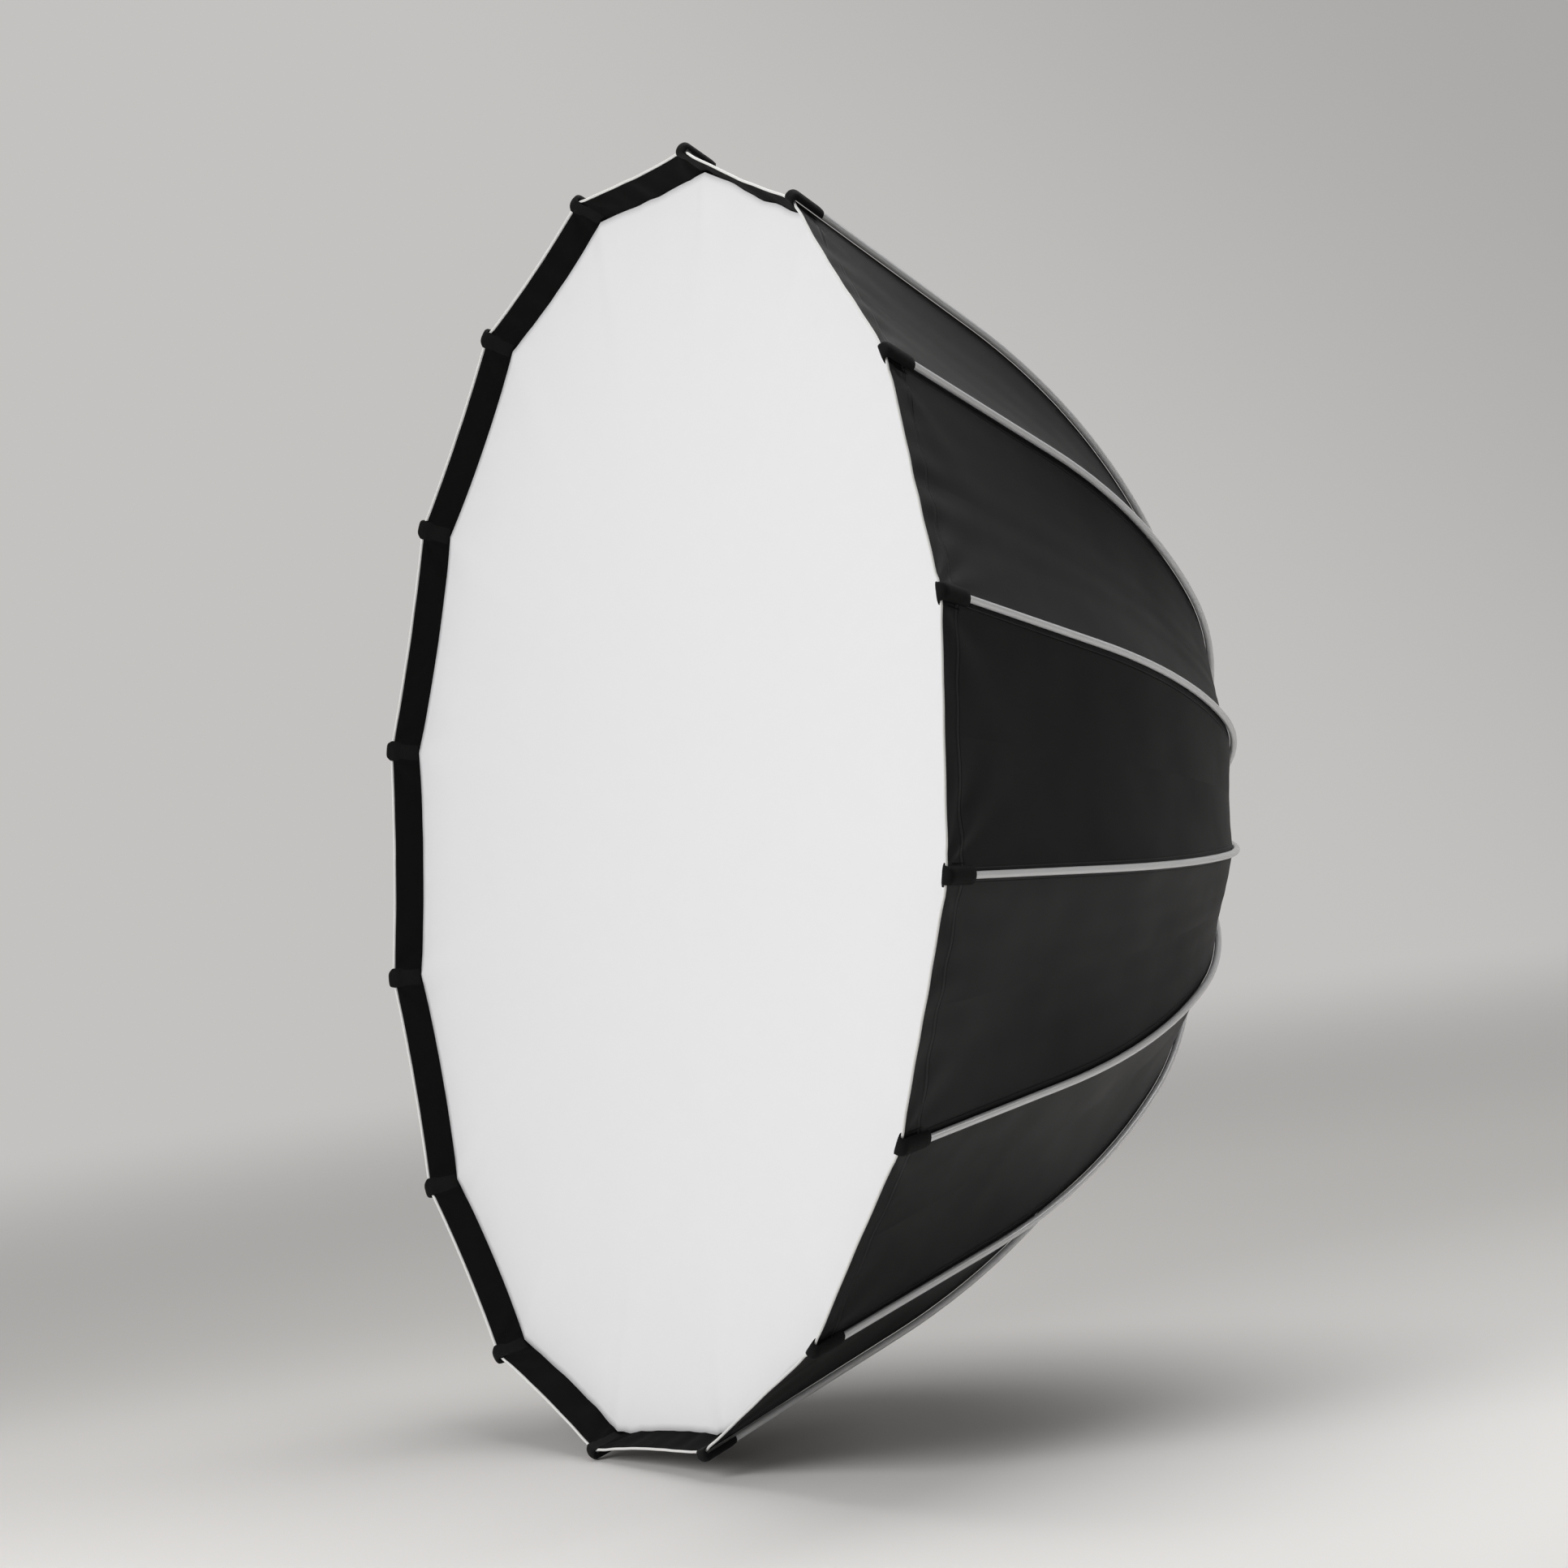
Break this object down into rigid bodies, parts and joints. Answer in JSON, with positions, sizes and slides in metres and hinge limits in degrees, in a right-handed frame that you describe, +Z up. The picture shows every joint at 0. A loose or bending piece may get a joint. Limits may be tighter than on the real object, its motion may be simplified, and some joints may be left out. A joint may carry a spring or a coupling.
{
  "type": "deep umbrella softbox",
  "caption": "Deep parabolic umbrella-type softbox: hinged ribs outside a black cloth bowl, recessed white front diffuser and a bayonet hub for a studio light.",
  "frame": {"origin": "centre of the bayonet plate's rear mating face", "axes": "+Y along the optical axis towards the light, -Y out of the open rim, +Z up with a flat side of the rim at the bottom"},
  "size_m": [1.4924, 0.7176, 1.4924],
  "materials": {
    "cast_aluminium": "black powder coat",
    "machined_aluminium": "satin anodised",
    "screw_steel": "zinc plated",
    "spring_steel": "plain",
    "black_plastic": "moulded, fine grain",
    "grey_fibreglass": "satin silver-grey, drawn lengthwise",
    "black_cloth": "coated satin cloth",
    "black_webbing": "woven strap",
    "light_piping": "thin covered cord",
    "white_cloth": "translucent diffusion cloth"
  },
  "bodies": {
    "hub": {"hub_ring": "cast_aluminium", "bayonet_plate": "machined_aluminium", "plate_screws": "screw_steel", "leaf_catches": "spring_steel", "hinge_pins": "screw_steel", "clamp_ring": "black_plastic", "clamp_screws": "screw_steel", "canopy": "black_cloth", "rim_piping": "light_piping", "lip_band": "black_cloth"},
    "rib_01": {"rib_foot_01": "black_plastic", "rib_rod_01": "grey_fibreglass", "tip_pocket_01": "black_webbing"},
    "rib_02": {"rib_foot_02": "black_plastic", "rib_rod_02": "grey_fibreglass", "tip_pocket_02": "black_webbing"},
    "rib_03": {"rib_foot_03": "black_plastic", "rib_rod_03": "grey_fibreglass", "tip_pocket_03": "black_webbing"},
    "rib_04": {"rib_foot_04": "black_plastic", "rib_rod_04": "grey_fibreglass", "tip_pocket_04": "black_webbing"},
    "rib_05": {"rib_foot_05": "black_plastic", "rib_rod_05": "grey_fibreglass", "tip_pocket_05": "black_webbing"},
    "rib_06": {"rib_foot_06": "black_plastic", "rib_rod_06": "grey_fibreglass", "tip_pocket_06": "black_webbing"},
    "rib_07": {"rib_foot_07": "black_plastic", "rib_rod_07": "grey_fibreglass", "tip_pocket_07": "black_webbing"},
    "rib_08": {"rib_foot_08": "black_plastic", "rib_rod_08": "grey_fibreglass", "tip_pocket_08": "black_webbing"},
    "rib_09": {"rib_foot_09": "black_plastic", "rib_rod_09": "grey_fibreglass", "tip_pocket_09": "black_webbing"},
    "rib_10": {"rib_foot_10": "black_plastic", "rib_rod_10": "grey_fibreglass", "tip_pocket_10": "black_webbing"},
    "rib_11": {"rib_foot_11": "black_plastic", "rib_rod_11": "grey_fibreglass", "tip_pocket_11": "black_webbing"},
    "rib_12": {"rib_foot_12": "black_plastic", "rib_rod_12": "grey_fibreglass", "tip_pocket_12": "black_webbing"},
    "rib_13": {"rib_foot_13": "black_plastic", "rib_rod_13": "grey_fibreglass", "tip_pocket_13": "black_webbing"},
    "rib_14": {"rib_foot_14": "black_plastic", "rib_rod_14": "grey_fibreglass", "tip_pocket_14": "black_webbing"},
    "rib_15": {"rib_foot_15": "black_plastic", "rib_rod_15": "grey_fibreglass", "tip_pocket_15": "black_webbing"},
    "rib_16": {"rib_foot_16": "black_plastic", "rib_rod_16": "grey_fibreglass", "tip_pocket_16": "black_webbing"},
    "front_diffuser": {"front_diffuser": "white_cloth"}
  },
  "joints": [
    {"name": "rib_01_fold", "type": "hinge", "parent": "hub", "child": "rib_01", "pos_m": [0.09317, -0.015, 0.01853], "axis": [0.1951, 0, -0.9808], "range_deg": [0, 43], "deforming": ["canopy", "rim_piping", "lip_band", "front_diffuser"]},
    {"name": "rib_02_fold", "type": "hinge", "parent": "hub", "child": "rib_02", "pos_m": [0.07899, -0.015, 0.05278], "axis": [0.5556, 0, -0.8315], "range_deg": [0, 43], "deforming": ["canopy", "rim_piping", "lip_band", "front_diffuser"]},
    {"name": "rib_03_fold", "type": "hinge", "parent": "hub", "child": "rib_03", "pos_m": [0.05278, -0.015, 0.07899], "axis": [0.8315, 0, -0.5556], "range_deg": [0, 43], "deforming": ["canopy", "rim_piping", "lip_band", "front_diffuser"]},
    {"name": "rib_04_fold", "type": "hinge", "parent": "hub", "child": "rib_04", "pos_m": [0.01853, -0.015, 0.09317], "axis": [0.9808, 0, -0.1951], "range_deg": [0, 43], "deforming": ["canopy", "rim_piping", "lip_band", "front_diffuser"]},
    {"name": "rib_05_fold", "type": "hinge", "parent": "hub", "child": "rib_05", "pos_m": [-0.01853, -0.015, 0.09317], "axis": [0.9808, 0, 0.1951], "range_deg": [0, 43], "deforming": ["canopy", "rim_piping", "lip_band", "front_diffuser"]},
    {"name": "rib_06_fold", "type": "hinge", "parent": "hub", "child": "rib_06", "pos_m": [-0.05278, -0.015, 0.07899], "axis": [0.8315, 0, 0.5556], "range_deg": [0, 43], "deforming": ["canopy", "rim_piping", "lip_band", "front_diffuser"]},
    {"name": "rib_07_fold", "type": "hinge", "parent": "hub", "child": "rib_07", "pos_m": [-0.07899, -0.015, 0.05278], "axis": [0.5556, 0, 0.8315], "range_deg": [0, 43], "deforming": ["canopy", "rim_piping", "lip_band", "front_diffuser"]},
    {"name": "rib_08_fold", "type": "hinge", "parent": "hub", "child": "rib_08", "pos_m": [-0.09317, -0.015, 0.01853], "axis": [0.1951, 0, 0.9808], "range_deg": [0, 43], "deforming": ["canopy", "rim_piping", "lip_band", "front_diffuser"]},
    {"name": "rib_09_fold", "type": "hinge", "parent": "hub", "child": "rib_09", "pos_m": [-0.09317, -0.015, -0.01853], "axis": [-0.1951, 0, 0.9808], "range_deg": [0, 43], "deforming": ["canopy", "rim_piping", "lip_band", "front_diffuser"]},
    {"name": "rib_10_fold", "type": "hinge", "parent": "hub", "child": "rib_10", "pos_m": [-0.07899, -0.015, -0.05278], "axis": [-0.5556, 0, 0.8315], "range_deg": [0, 43], "deforming": ["canopy", "rim_piping", "lip_band", "front_diffuser"]},
    {"name": "rib_11_fold", "type": "hinge", "parent": "hub", "child": "rib_11", "pos_m": [-0.05278, -0.015, -0.07899], "axis": [-0.8315, 0, 0.5556], "range_deg": [0, 43], "deforming": ["canopy", "rim_piping", "lip_band", "front_diffuser"]},
    {"name": "rib_12_fold", "type": "hinge", "parent": "hub", "child": "rib_12", "pos_m": [-0.01853, -0.015, -0.09317], "axis": [-0.9808, 0, 0.1951], "range_deg": [0, 43], "deforming": ["canopy", "rim_piping", "lip_band", "front_diffuser"]},
    {"name": "rib_13_fold", "type": "hinge", "parent": "hub", "child": "rib_13", "pos_m": [0.01853, -0.015, -0.09317], "axis": [-0.9808, 0, -0.1951], "range_deg": [0, 43], "deforming": ["canopy", "rim_piping", "lip_band", "front_diffuser"]},
    {"name": "rib_14_fold", "type": "hinge", "parent": "hub", "child": "rib_14", "pos_m": [0.05278, -0.015, -0.07899], "axis": [-0.8315, 0, -0.5556], "range_deg": [0, 43], "deforming": ["canopy", "rim_piping", "lip_band", "front_diffuser"]},
    {"name": "rib_15_fold", "type": "hinge", "parent": "hub", "child": "rib_15", "pos_m": [0.07899, -0.015, -0.05278], "axis": [-0.5556, 0, -0.8315], "range_deg": [0, 43], "deforming": ["canopy", "rim_piping", "lip_band", "front_diffuser"]},
    {"name": "rib_16_fold", "type": "hinge", "parent": "hub", "child": "rib_16", "pos_m": [0.09317, -0.015, -0.01853], "axis": [-0.1951, 0, -0.9808], "range_deg": [0, 43], "deforming": ["canopy", "rim_piping", "lip_band", "front_diffuser"]},
    {"name": "front_diffuser_removal", "type": "slide", "parent": "hub", "child": "front_diffuser", "axis": [0, -1, 0], "range_m": [0, 0.68]}
  ],
  "couplings": [
    {"joint": "rib_02_fold", "follows": "rib_01_fold", "ratio": 1},
    {"joint": "rib_03_fold", "follows": "rib_01_fold", "ratio": 1},
    {"joint": "rib_04_fold", "follows": "rib_01_fold", "ratio": 1},
    {"joint": "rib_05_fold", "follows": "rib_01_fold", "ratio": 1},
    {"joint": "rib_06_fold", "follows": "rib_01_fold", "ratio": 1},
    {"joint": "rib_07_fold", "follows": "rib_01_fold", "ratio": 1},
    {"joint": "rib_08_fold", "follows": "rib_01_fold", "ratio": 1},
    {"joint": "rib_09_fold", "follows": "rib_01_fold", "ratio": 1},
    {"joint": "rib_10_fold", "follows": "rib_01_fold", "ratio": 1},
    {"joint": "rib_11_fold", "follows": "rib_01_fold", "ratio": 1},
    {"joint": "rib_12_fold", "follows": "rib_01_fold", "ratio": 1},
    {"joint": "rib_13_fold", "follows": "rib_01_fold", "ratio": 1},
    {"joint": "rib_14_fold", "follows": "rib_01_fold", "ratio": 1},
    {"joint": "rib_15_fold", "follows": "rib_01_fold", "ratio": 1},
    {"joint": "rib_16_fold", "follows": "rib_01_fold", "ratio": 1},
    {"joint": "front_diffuser_removal", "follows": "rib_01_fold", "m_per_rad": 0.9}
  ]
}
